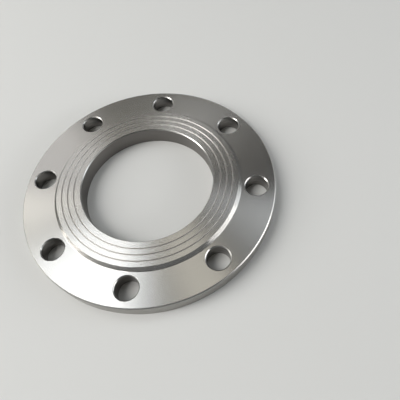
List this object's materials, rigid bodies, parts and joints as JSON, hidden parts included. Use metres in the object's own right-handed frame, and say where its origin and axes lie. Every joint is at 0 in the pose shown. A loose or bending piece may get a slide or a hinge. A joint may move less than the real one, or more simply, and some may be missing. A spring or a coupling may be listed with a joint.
{
  "type": "slip-on pipe flange",
  "caption": "Flat round steel pipe flange with a plain through bore, a raised sealing face with fine gasket grooves, and a ring of bolt holes.",
  "frame": {"origin": "on the axis of the bore, in the plane of the back face", "axes": "+Z along the axis of the bore, out of the raised face; +X and +Y lie midway between neighbouring bolt holes"},
  "size_m": [0.21, 0.21, 0.016],
  "materials": {
    "turned_steel": "turned, with fine concentric tool marks"
  },
  "bodies": {
    "root": {"flange": "turned_steel"}
  },
  "joints": []
}
